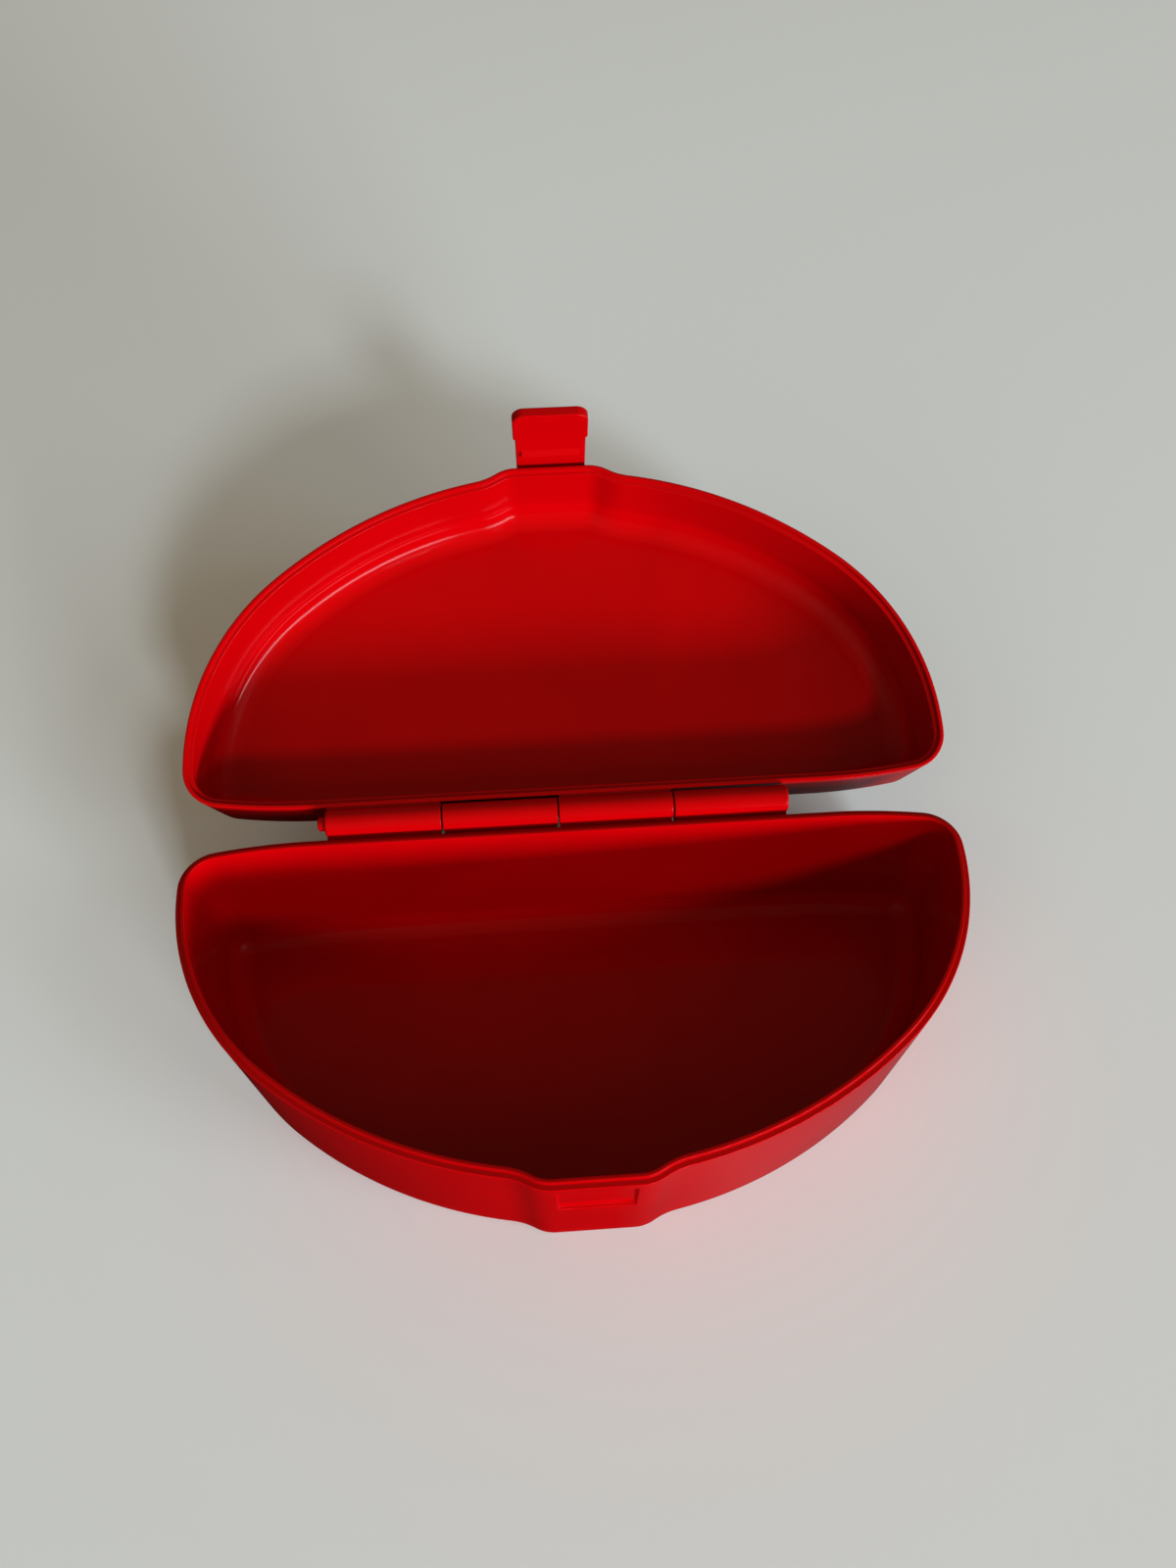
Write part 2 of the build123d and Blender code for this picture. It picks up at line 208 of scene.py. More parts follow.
class HingeSizes(bpy.types.PropertyGroup):
    """Knuckles, webs and pin of the hinge."""

    setback: length("Setback", "From the back wall to the hinge's axis", 3.92)
    rise: length("Rise", "From the base's rim land to the hinge's axis", 1)
    middle: bpy.props.FloatProperty(
        name="Middle", description="Middle of the barrel along X", default=-3.3 * MM, precision=5, unit="LENGTH"
    )
    radius: length("Knuckle radius", "Radius of the barrel", 3.4)
    pitch: length("Knuckle pitch", "Length of one knuckle with its gap", 28.5)
    gap: length("Knuckle gap", "Gap between knuckles", 0.4)
    end_round: length("End round", "Round of the barrel's outer ends", 0.8)
    seam_round: length("Seam round", "Round of the knuckles' inner ends", 0.25)
    gusset_drop: length("Web drop", "How far the webs reach along the wall", 9)
    base_web: length("Base web", "Level of the base's webs below its rim", 1.2)
    lid_web: length("Lid web", "Level of the lid's webs above its rim", 0.3)
    sink: length("Sink", "How far a web runs into the wall", 0.7)
    stop_gap: length("Stop gap", "From the stop heels to the wall when wide open", 0.3)
    heel_top: length("Heel top", "From the base's rim land down to the heels", 0.6)
    heel_height: length("Heel height", "Height of the heels", 1.6)
    pin_radius: length("Pin radius", "Radius of the hinge pin", 1.5)
    pin_head: length("Pin head", "Radius of the hinge pin's head", 1.8)
    pin_head_length: length("Pin head length", "Length of the hinge pin's head", 1.8)
    pin_clearance: length("Pin clearance", "Room round the pins", 0.05)
    blind_end: length("Blind end", "Plastic left beyond the bore", 2.5)


class ClipSizes(bpy.types.PropertyGroup):
    """Latch clip and the ears and pin that carry it."""

    pivot_out: length("Pivot out", "From the boss to the clip's axis", 2.9)
    pivot_up: length("Pivot up", "From the lid's rim to the clip's axis", 7)
    knuckle_radius: length("Knuckle radius", "Radius of the clip's knuckle", 2.5)
    knuckle_width: length("Knuckle width", "Width of the clip's knuckle", 10.6)
    ear_radius: length("Ear radius", "Radius of the ears", 2.6)
    ear_width: length("Ear width", "Width of one ear", 2.6)
    ear_side_gap: length("Ear gap", "Gap between ear and knuckle", 0.3)
    ear_top_gap: length("Neck gap", "Gap between ears and neck", 0.5)
    face_gap: length("Face gap", "Gap between clip and boss when latched", 0.4)
    neck_width: length("Neck width", "Width of the neck", 17.9)
    neck_thickness: length("Neck thickness", "Thickness of the neck", 1.9)
    tab_width: length("Tab width", "Width of the finger tab", 18.9)
    tab_thickness: length("Tab thickness", "Thickness of the finger tab", 2.7)
    tab_length: length("Tab length", "Length of the finger tab", 10)
    tab_round: length("Tab round", "Round of the tab's corners", 3)
    edge_round: length("Edge round", "Round of the clip's edges", 0.4)
    reach: length("Reach", "From the lid's rim to the clip's tip", 20.29)
    hook_width: length("Hook width", "Width of the hook rib", 15)
    hook_height: length("Hook height", "Height of the hook rib", 2)
    hook_bite: length("Hook bite", "How far the rib reaches into the pocket", 0.75)
    hook_gap: length("Hook gap", "Room above the rib in the pocket", 0.3)
    pin_radius: length("Latch pin radius", "Radius of the latch pin", 1)


class Finishes(bpy.types.PropertyGroup):
    """Colours and gloss."""

    red: colour("Red", "Red of the moulded plastic", "#9A0003")
    deep_red: colour("Deep red", "Red where the melt flowed thicker", "#920003")
    gloss: share("Roughness", "Roughness of the two shells", 0.12)
    clip_gloss: share("Clip roughness", "Roughness of the latch clip", 0.14)
    pin_gloss: share("Pin roughness", "Roughness of the pins", 0.08)
    table: colour("Table", "Colour of the pale table", "#DEE8EC")
    # Painted reflection: the colours that the box's gloss shows for the table, dark on the left and lighter on the
    # right.
    painted_reflection_left: colour("Table in gloss, left", "Table's left half as the gloss shows it", "#181818")
    painted_reflection_right: colour("Table in gloss, right", "Table's right half as the gloss shows it", "#66686F")
    surround: colour("Surround", "Colour of the surround", "#CDAC80")
    backdrop: colour("Backdrop", "Colour that shows behind the table", "#C9CAC8")


class BoxSizes(bpy.types.PropertyGroup):
    """All sizes and finishes of the box."""

    outline: bpy.props.PointerProperty(type=OutlineSizes, name="Outline", description="Outline of the shells")
    shell: bpy.props.PointerProperty(type=ShellSizes, name="Shells", description="Walls and rims")
    hinge: bpy.props.PointerProperty(type=HingeSizes, name="Hinge", description="Knuckles and pin")
    clip: bpy.props.PointerProperty(type=ClipSizes, name="Clip", description="Latch clip and ears")
    finish: bpy.props.PointerProperty(type=Finishes, name="Finishes", description="Colours and gloss")


def sizes():
    """The scene's settings for this box."""
    return bpy.context.scene.halfmoon_box


def back_y():
    """Back wall of the shut box at the rim."""
    return HINGE.y - sizes().hinge.setback


def widest_y():
    """Line along which the outline is widest."""
    return back_y() - sizes().outline.back_reach


def boss_y():
    """Flat face of the front boss at the rim."""
    outline = sizes().outline
    return widest_y() - outline.front_reach - outline.boss_proud


def lid_rim_z():
    """Level of the lid's rim with the lid shut."""
    shell = sizes().shell
    return shell.base_height + shell.rim_gap


def pivot():
    """Axis of the clip with the lid shut."""
    clip = sizes().clip
    return Vector((0, boss_y() - clip.pivot_out, lid_rim_z() + clip.pivot_up))


def drafted(rise):
    """How far the drafted walls have come in at a distance from the rim."""
    return rise * math.tan(sizes().shell.draft)


def outline_arcs():
    """Centre, radius and turn of the arcs on the right half, from the back to the boss.

    A turn to the left is positive.
    """
    o = sizes().outline
    half = o.width / 2
    corner = (o.back_reach - o.bow_radius * (1 - math.cos(o.bow_turn))) / math.cos(o.bow_turn)
    corner_x = half - corner
    bow_x = corner_x + (corner - o.bow_radius) * math.sin(o.bow_turn)
    side = o.side_share * o.front_reach
    side_x = half - side
    front = (side_x**2 + o.front_reach**2 - side**2) / (2 * (o.front_reach - side))
    front_rise = front - o.front_reach
    side_turn = math.atan2(front_rise, side_x)
    root = math.asin(o.boss_root_half / front)
    root_y = widest_y() + front_rise - front * math.cos(root)
    drop = root_y - boss_y() - o.boss_shoulder * (1 - math.cos(o.boss_slope))
    hollow = drop / (math.cos(root) - math.cos(o.boss_slope))
    hollow_x = o.boss_root_half + hollow * math.sin(root)
    shoulder_x = hollow_x - (hollow + o.boss_shoulder) * math.sin(o.boss_slope)
    return [
        (Vector((bow_x, back_y() - o.bow_radius, 0)), o.bow_radius, -o.bow_turn),
        (Vector((corner_x, widest_y(), 0)), corner, o.bow_turn - QUARTER),
        (Vector((side_x, widest_y(), 0)), side, -side_turn),
        (Vector((0, widest_y() + front_rise, 0)), front, root + side_turn - QUARTER),
        (Vector((hollow_x, root_y - hollow * math.cos(root), 0)), hollow, o.boss_slope - root),
        (Vector((shoulder_x, boss_y() + o.boss_shoulder, 0)), o.boss_shoulder, -o.boss_slope),
    ]


def draw_on(bm, vert, offset):
    """Draws a straight line from a vertex and returns its end."""
    end = bmesh.ops.extrude_vert_indiv(bm, verts=[vert])["verts"][0]
    end.co += offset
    return end


def draw_arc(bm, vert, centre, axis, turn, steps):
    """Draws an arc from a vertex round an axis and returns its end."""
    swept = bmesh.ops.spin(bm, geom=[vert], cent=centre, axis=axis, angle=turn, steps=steps)
    return [v for v in swept["geom_last"] if isinstance(v, bmesh.types.BMVert)][0]


def draw_outline(bm):
    """Draws the outline of both shells at height 0, with each vertex's outward direction in a layer."""
    arcs = outline_arcs()
    last = bmesh.ops.create_vert(bm, co=(0, back_y(), 0))["vert"][0]
    last = draw_on(bm, last, X_AXIS * arcs[0][0].x)
    for centre, radius, turn in arcs:
        steps = max(LEAST_ARC_STEPS, math.ceil(radius * abs(turn) / FINE_CURVE))
        last = draw_arc(bm, last, centre, Z_AXIS, turn, steps)
    pocket_half = sizes().shell.pocket_width / 2
    last = draw_on(bm, last, -X_AXIS * (last.co.x - pocket_half))
    draw_on(bm, last, -X_AXIS * pocket_half)
    bmesh.ops.mirror(bm, geom=bm.verts[:] + bm.edges[:], matrix=Matrix(), merge_dist=WELD, axis="X")
    bmesh.ops.remove_doubles(bm, verts=bm.verts[:], dist=WELD)
    for edge in [edge for edge in bm.edges if edge.calc_length() > STRAIGHT_STEP]:
        bmesh.ops.subdivide_edges(bm, edges=[edge], cuts=int(edge.calc_length() / STRAIGHT_STEP))
    outward = bm.verts.layers.float_vector.new("outward")
    middle = Vector((0, widest_y(), 0))
    for vert in bm.verts:
        ways = [(edge.other_vert(vert).co - vert.co).normalized() for edge in vert.link_edges]
        along = (ways[0] - ways[1]).normalized()
        out = along.cross(Z_AXIS)
        vert[outward] = out if out.dot(vert.co - middle) > 0 else -out
    return bm.edges[:]


def extrude_loop(bm, edges):
    """Extrudes a loop of edges in place, and returns its new vertices and edges."""
    grown = bmesh.ops.extrude_edge_only(bm, edges=edges)["geom"]
    fresh = {part for part in grown if isinstance(part, bmesh.types.BMVert)}
    return fresh, [e for e in grown if isinstance(e, bmesh.types.BMEdge) and fresh.issuperset(e.verts)]


def extrude_along(bm, edges, offset):
    """Extrudes a loop of edges by an offset and returns the far edges."""
    fresh, far = extrude_loop(bm, edges)
    bmesh.ops.translate(bm, verts=list(fresh), vec=offset)
    return far


def sweep(bm, edges, sections):
    """Extrudes the outline through sections, each an inset and a height, and returns the edges of each."""
    outward = bm.verts.layers.float_vector["outward"]
    inset, height = sections[0]
    for vert in bm.verts:
        vert.co += Z_AXIS * height - vert[outward] * inset
    loops = [edges]
    for next_inset, next_height in sections[1:]:
        fresh, far = extrude_loop(bm, loops[-1])
        for vert in fresh:
            vert.co += Z_AXIS * (next_height - height) - vert[outward] * (next_inset - inset)
        loops.append(far)
        inset, height = next_inset, next_height
    return loops


def round_edges(bm, edges, radius, segments):
    """Rounds edges in a number of segments."""
    bmesh.ops.bevel(
        bm, geom=edges, offset=radius, offset_type="OFFSET", segments=segments, profile=0.5,
        affect="EDGES", material=-1, clamp_overlap=False, loop_slide=True,
    )


def new_shell(sections):
    """Closed shell through sections, each an inset, a height and its edge's radius and segments, or None."""
    bm = bmesh.new()
    loops = sweep(bm, draw_outline(bm), [(inset, height) for inset, height, _ in sections])
    for loop in (loops[0], loops[-1]):
        bmesh.ops.edgeloop_fill(bm, edges=loop)
    bmesh.ops.recalc_face_normals(bm, faces=bm.faces[:])
    for loop, (_, _, edge_round) in zip(loops, sections):
        if edge_round:
            round_edges(bm, loop, *edge_round)
    return bm


def loop_through(vert):
    """All edges of the drawn loop that holds a vertex."""
    edges = set(vert.link_edges)
    todo = list(edges)
    while todo:
        for end in todo.pop().verts:
            fresh = set(end.link_edges) - edges
            edges |= fresh
            todo += fresh
    return list(edges)


def ring_bar(start, radius, bore_radius, run, end_rounds, blind=0.0):
    """Round bar along X with a bore that stops short by a blind length, and rounded ends."""
    bm = bmesh.new()
    turn = Matrix.Translation(start) @ Matrix.Rotation(QUARTER, 4, "Y")
    loops = []
    for size, reach in ((radius, run), (bore_radius, run - blind)):
        ring = bmesh.ops.create_circle(bm, cap_ends=False, radius=size, segments=BAR_SEGMENTS, matrix=turn)
        edges = loop_through(ring["verts"][0])
        loops.append((edges, extrude_along(bm, edges, X_AXIS * reach)))
    (outer, outer_end), (bore, bore_end) = loops
    bmesh.ops.bridge_loops(bm, edges=outer + bore)
    if blind:
        for loop in (outer_end, bore_end):
            bmesh.ops.edgeloop_fill(bm, edges=loop)
    else:
        bmesh.ops.bridge_loops(bm, edges=outer_end + bore_end)
    bmesh.ops.recalc_face_normals(bm, faces=bm.faces[:])
    for loop, size in zip((outer, outer_end), end_rounds):
        round_edges(bm, loop, size, EDGE_SEGMENTS)
    return bm


def close_prism(bm, vert, offset):
    """Extrudes the drawn loop that holds a vertex, and closes both ends."""
    start = loop_through(vert)
    for loop in (start, extrude_along(bm, start, offset)):
        bmesh.ops.edgeloop_fill(bm, edges=loop)
    bmesh.ops.recalc_face_normals(bm, faces=bm.faces[:])
    return bm


def prism(corners, offset):
    """Solid with the given corners, extruded by an offset."""
    bm = bmesh.new()
    first = bmesh.ops.create_vert(bm, co=corners[0])["vert"][0]
    last = first
    for corner in corners[1:]:
        last = draw_on(bm, last, corner - last.co)
    bmesh.ops.contextual_create(bm, geom=[last, first])
    return close_prism(bm, first, offset)


def bracket(middle, radius, first_turn, turn, corners, run):
    """Solid along X that starts on an arc inside a bar's wall and goes round by corners.

    It starts there so that the bar's bore stays open.
    """
    bm = bmesh.new()
    first = bmesh.ops.create_vert(bm, co=on_circle(middle, radius, first_turn))["vert"][0]
    last = draw_arc(bm, first, middle, X_AXIS, turn, WEB_ROOT_STEPS)
    for corner in corners:
        last = draw_on(bm, last, corner - last.co)
    bmesh.ops.contextual_create(bm, geom=[last, first])
    return close_prism(bm, first, X_AXIS * run)


def round_sharp(bm, radius):
    """Rounds all edges that are sharp."""
    sharp = [e for e in bm.edges if e.calc_face_angle(0) > SHARP_ANGLE]
    round_edges(bm, sharp, radius, EDGE_SEGMENTS)


def on_circle(centre, radius, turn):
    """Point on a circle round an axis along X, at an angle from +Y towards +Z."""
    return centre + Vector((0, math.cos(turn), math.sin(turn))) * radius


def knuckle_span(index):
    """Start and end of a knuckle along X. The first and the last one have no gap at their outer ends."""
    h = sizes().hinge
    start = h.middle + (index - KNUCKLES // 2) * h.pitch
    first = 0 if index == 0 else h.gap / 2
    last = 0 if index == KNUCKLES - 1 else h.gap / 2
    return start + first, start + h.pitch - last


def web_points(up):
    """Angles at which a web leaves the barrel, near the rim and along its slope, and its two corners in the wall.

    It goes up the lid's wall where up is 1, and down the base's wall where up is -1.
    """
    h = sizes().hinge
    shell = sizes().shell
    rim = (lid_rim_z() if up > 0 else shell.base_height) - HINGE.z
    wall = -h.setback - h.sink
    level = rim + up * (h.lid_web if up > 0 else h.base_web)
    foot = rim + up * h.gusset_drop
    reach = math.hypot(wall, foot)
    slope = math.atan2(up * foot, -wall) - math.asin(h.radius / reach)
    run = math.sqrt(reach**2 - h.radius**2)
    tangent = math.atan2(foot - up * run * math.sin(slope), wall + run * math.cos(slope))
    level_turn = math.pi - math.asin(level / h.radius)
    return level_turn, tangent, Vector((0, wall, level)), Vector((0, wall, foot))


def knuckle(index):
    """Parts of a knuckle in the shut position: barrel, web and, on the lid, the stop heel."""
    h = sizes().hinge
    on_lid = index in LID_KNUCKLES
    start, end = knuckle_span(index)
    level_turn, tangent, wall_level, wall_foot = web_points(1 if on_lid else -1)
    middle = Vector((start, HINGE.y, HINGE.z))
    bore = h.pin_radius + h.pin_clearance
    last = KNUCKLES - 1
    rounds = (h.end_round if index == 0 else h.seam_round, h.end_round if index == last else h.seam_round)
    blind = h.blind_end if index == last else 0
    parts = [ring_bar(middle, h.radius, bore, end - start, rounds, blind)]

    in_wall = (bore + h.radius) / 2
    middle = middle + X_AXIS * h.seam_round
    run = end - start - 2 * h.seam_round
    turn = tangent - level_turn + (0 if on_lid else 2 * math.pi)
    corners = [
        on_circle(middle, h.radius, tangent), middle + wall_foot, middle + wall_level,
        on_circle(middle, h.radius, level_turn),
    ]
    parts.append(bracket(middle, in_wall, level_turn, turn, corners, run))
    if on_lid:
        face = h.stop_gap - h.setback
        top = -h.rise - h.heel_top
        foot = top - h.heel_height
        top_turn = math.pi - math.asin(top / h.radius) + OPEN_TURN
        foot_turn = math.pi - math.asin(foot / h.radius) + OPEN_TURN
        open_turn = Matrix.Rotation(OPEN_TURN, 3, "X")
        corners = [
            on_circle(middle, h.radius, foot_turn), middle + open_turn @ Vector((0, face, foot)),
            middle + open_turn @ Vector((0, face, top)), on_circle(middle, h.radius, top_turn),
        ]
        parts.append(bracket(middle, in_wall, top_turn, foot_turn - top_turn, corners, run))
    return parts


def ear(side):
    """Parts of one of the lid's ears in the shut position: its round end and its root."""
    c = sizes().clip
    inner = c.knuckle_width / 2 + c.ear_side_gap
    start = inner if side > 0 else -inner - c.ear_width
    root = c.pivot_out + drafted(c.pivot_up + c.ear_radius) + sizes().hinge.sink
    middle = pivot() + X_AXIS * start
    bore = c.pin_radius + sizes().hinge.pin_clearance
    end = ring_bar(middle, c.ear_radius, bore, c.ear_width, (c.edge_round, c.edge_round))
    in_wall = (bore + c.ear_radius) / 2
    half = (in_wall + c.ear_radius) / 2
    middle = middle + X_AXIS * c.edge_round
    corners = [middle + Vector((0, y, z)) for y, z in ((0, half), (root, half), (root, -half), (0, -half))]
    arm = bracket(middle, in_wall, -QUARTER, 2 * QUARTER, corners, c.ear_width - 2 * c.edge_round)
    return [end, arm]


def swing_open(bm):
    """Turns what rides on the lid from the shut position to the open one."""
    turn = Matrix.Rotation(-OPEN_TURN, 3, "X")
    bmesh.ops.rotate(bm, verts=bm.verts[:], cent=HINGE, matrix=turn)


def object_of(name, bm):
    """New object with the bmesh's mesh, linked to the scene."""
    bmesh.ops.recalc_face_normals(bm, faces=bm.faces[:])
    if bm.calc_volume(signed=True) < 0:
        bmesh.ops.reverse_faces(bm, faces=bm.faces[:])
    mesh = bpy.data.meshes.new(name)
    bm.to_mesh(mesh)
    bm.free()
    made = bpy.data.objects.new(name, mesh)
    bpy.context.scene.collection.objects.link(made)
    return made


def fuse(main, added):
    """Joins a bmesh to an object as one solid."""
    faces = len(main.data.polygons)
    other = object_of(main.name + "_added", added)
    joint = main.modifiers.new("fuse", "BOOLEAN")
    joint.operation = "UNION"
    joint.solver = "EXACT"
    joint.object = other
    fused = bpy.data.meshes.new_from_object(main.evaluated_get(bpy.context.evaluated_depsgraph_get()))
    if len(fused.polygons) < FUSED_SHARE * faces:
        raise RuntimeError(f"{main.name} lost faces when a part was joined to it")
    main.modifiers.clear()
    main.data = fused
    fused.name = main.name
    bpy.data.objects.remove(other)


def finish_piece(piece, material, body, node):
    """Shades a piece, gives it its material, hangs it on its body and hides the CAD part it stands in for."""
    if not piece.data.polygons:
        raise RuntimeError(f"{piece.name} has no faces")
    piece.data.materials.clear()
    piece.data.materials.append(material)
    piece.data.shade_smooth()
    piece.data.set_sharp_from_angle(angle=SHARP_ANGLE)
    weighted = piece.modifiers.new("flat_faces_stay_flat", "WEIGHTED_NORMAL")
    weighted.mode = "FACE_AREA"
    weighted.keep_sharp = True
    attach(piece, body)
    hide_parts(node)


def add_node(tree, kind, inputs=None):
    """Adds a shader node. An input is a value, or a (node, output) pair that feeds it."""
    made = tree.nodes.new(kind)
    for name, value in (inputs or {}).items():
        if isinstance(value, tuple) and isinstance(value[0], bpy.types.Node):
            tree.links.new(value[0].outputs[value[1]], made.inputs[name])
        else:
            made.inputs[name].default_value = value
    return made


def show_to(tree, path, ray, shown, otherwise):
    """Mixes two shaders, so that one kind of ray sees the first and all others the second."""
    mixed = add_node(tree, "ShaderNodeMixShader", {"Fac": (path, ray)})
    tree.links.new(otherwise.outputs[0], mixed.inputs[1])
    tree.links.new(shown.outputs[0], mixed.inputs[2])
    return mixed


def moulded_polypropylene(name, roughness):
    """Glossy injection-moulded polypropylene.

    The polished mould gives it a soft, slightly wavy gloss, the pigment a deep even red with faint flow
    marks, and handling dulls the gloss in patches. The fine peel is drawn as coarse as it needs to show.
    """
    finish = sizes().finish
    material = bpy.data.materials.new(name)
    material.use_nodes = True
    tree = material.node_tree
    tree.nodes.clear()
    place = add_node(tree, "ShaderNodeTexCoord")
    flow_mark = 45 * MM
    haze = 9 * MM
    ripple, ripple_height, ripple_strength = 14 * MM, 0.1 * MM, 0.08
    peel, peel_height, peel_strength = 1.1 * MM, 0.02 * MM, 0.03
    polished, dulled = roughness - 0.02, roughness + 0.04
    flow = add_node(
        tree, "ShaderNodeTexNoise",
        {"Vector": (place, "Object"), "Scale": 1 / flow_mark, "Detail": 2.0, "Distortion": 0.8},
    )
    tint = add_node(tree, "ShaderNodeValToRGB", {"Fac": (flow, "Fac")})
    tint.color_ramp.elements[0].position = 0.3
    tint.color_ramp.elements[0].color = finish.deep_red
    tint.color_ramp.elements[1].position = 0.7
    tint.color_ramp.elements[1].color = finish.red
    handling = add_node(
        tree, "ShaderNodeTexNoise",
        {"Vector": (place, "Object"), "Scale": 1 / haze, "Detail": 6.0, "Roughness": 0.62},
    )
    gloss = add_node(
        tree, "ShaderNodeMapRange",
        {"Value": (handling, "Fac"), "From Min": 0.35, "From Max": 0.7,
         "To Min": polished, "To Max": dulled},
    )
    waves = add_node(
        tree, "ShaderNodeTexNoise", {"Vector": (place, "Object"), "Scale": 1 / ripple, "Detail": 1.0},
    )
    skin = add_node(
        tree, "ShaderNodeTexNoise", {"Vector": (place, "Object"), "Scale": 1 / peel, "Detail": 2.0},
    )
    wavy = add_node(
        tree, "ShaderNodeBump",
        {"Height": (waves, "Fac"), "Strength": ripple_strength, "Distance": ripple_height},
    )
    peeled = add_node(
        tree, "ShaderNodeBump",
        {"Height": (skin, "Fac"), "Strength": peel_strength, "Distance": peel_height,
         "Normal": (wavy, "Normal")},
    )
    plastic = add_node(
        tree, "ShaderNodeBsdfPrincipled",
        {"Base Color": (tint, "Color"), "Roughness": (gloss, "Result"), "Normal": (peeled, "Normal"),
         "IOR": 1.49, "Specular IOR Level": 0.4},
    )
    add_node(tree, "ShaderNodeOutputMaterial", {"Surface": (plastic, "BSDF")})
    return material


class HALFMOON_OT_base_shell(bpy.types.Operator):
    """Build the deep base with its rim tongue, latch pocket and two knuckles"""

    bl_idname = "halfmoon.base_shell"
    bl_label = "Base shell"

    def execute(self, context):
        s = sizes().shell
        high = s.base_height
        pocket_high = high - s.pocket_top
        pocket_low = pocket_high - s.pocket_height
        tongue_high = high + s.tongue_height
        tongue_inset = s.base_wall - s.tongue_thickness
        small = (s.step_round, EDGE_SEGMENTS)
        sections = [
            (drafted(high), 0, (s.foot_round, EDGE_SEGMENTS)),
            (drafted(high - pocket_low), pocket_low, None),
            (drafted(s.pocket_top), pocket_high, None),
            (0, high, (s.rim_round, EDGE_SEGMENTS)),
            (tongue_inset, high, (s.step_round, STEP_SEGMENTS)),
            (tongue_inset, tongue_high, small),
            (s.base_wall - drafted(s.tongue_height), tongue_high, small),
            (s.base_wall + drafted(high - s.base_floor), s.base_floor, (s.base_fillet, BASE_FILLET_SEGMENTS)),
        ]
        bm = new_shell(sections)
        self.sink_pocket(bm, pocket_low, pocket_high)
        shell = object_of("base_body", bm)
        for index in BASE_KNUCKLES:
            for part in knuckle(index):
                fuse(shell, part)
        plastic = moulded_polypropylene("red_polypropylene_moulded", sizes().finish.gloss)
        finish_piece(shell, plastic, "base", "base_shell")
        return {"FINISHED"}

    def sink_pocket(self, bm, low, high):
        """Sinks the latch pocket into the boss's flat face, and rounds its bottom and its mouth."""
        s = sizes().shell
        floor_y = boss_y() + s.pocket_depth
        faces = []
        for face in bm.faces:
            spot = face.calc_center_median()
            if abs(spot.x) < s.pocket_width / 2 and low < spot.z < high and spot.y < floor_y:
                faces.append(face)
        if not faces:
            raise RuntimeError("the boss has no face for the pocket")
        mouth = [e for f in faces for e in f.edges if not set(faces).issuperset(e.link_faces)]
        grown = bmesh.ops.extrude_face_region(bm, geom=faces)["geom"]
        for part in grown:
            if isinstance(part, bmesh.types.BMVert):
                part.co.y = floor_y
        bmesh.ops.delete(bm, geom=faces, context="FACES")
        floor = {part for part in grown if isinstance(part, bmesh.types.BMFace)}
        inner = [e for f in floor for e in f.edges if not floor.issuperset(e.link_faces)]
        round_edges(bm, inner, s.pocket_round, EDGE_SEGMENTS)
        round_edges(bm, mouth, s.mouth_round, EDGE_SEGMENTS)


class HALFMOON_OT_lid_shell(bpy.types.Operator):
    """Build the shallow lid with its rebate, two knuckles, stop heels and the clip's ears"""

    bl_idname = "halfmoon.lid_shell"
    bl_label = "Lid shell"

    def execute(self, context):
        s = sizes().shell
        rim = lid_rim_z()
        top = rim + s.lid_height
        ceiling = top - s.lid_top
        rebate_inset = s.base_wall - s.tongue_thickness - s.tongue_clearance
        rebate_top = s.base_height + s.tongue_height + s.tongue_clearance
        corner = (s.step_round, STEP_SEGMENTS)
        sections = [
            (drafted(s.lid_height), top, (s.lid_edge, LID_EDGE_SEGMENTS)),
            (0, rim, (s.rim_round, EDGE_SEGMENTS)),
            (rebate_inset, rim, corner),
            (rebate_inset, rebate_top, corner),
            (s.lid_wall + drafted(rebate_top - rim), rebate_top, (s.step_round, EDGE_SEGMENTS)),
            (s.lid_wall + drafted(ceiling - rim), ceiling, (s.lid_fillet, LID_FILLET_SEGMENTS)),
        ]
        bm = new_shell(sections)
        swing_open(bm)
        shell = object_of("lid_body", bm)
        knuckles = [part for index in LID_KNUCKLES for part in knuckle(index)]
        for part in knuckles + ear(-1) + ear(1):
            swing_open(part)
            fuse(shell, part)
        plastic = bpy.data.materials["red_polypropylene_moulded"]
        finish_piece(shell, plastic, "lid", "lid_shell")
        return {"FINISHED"}


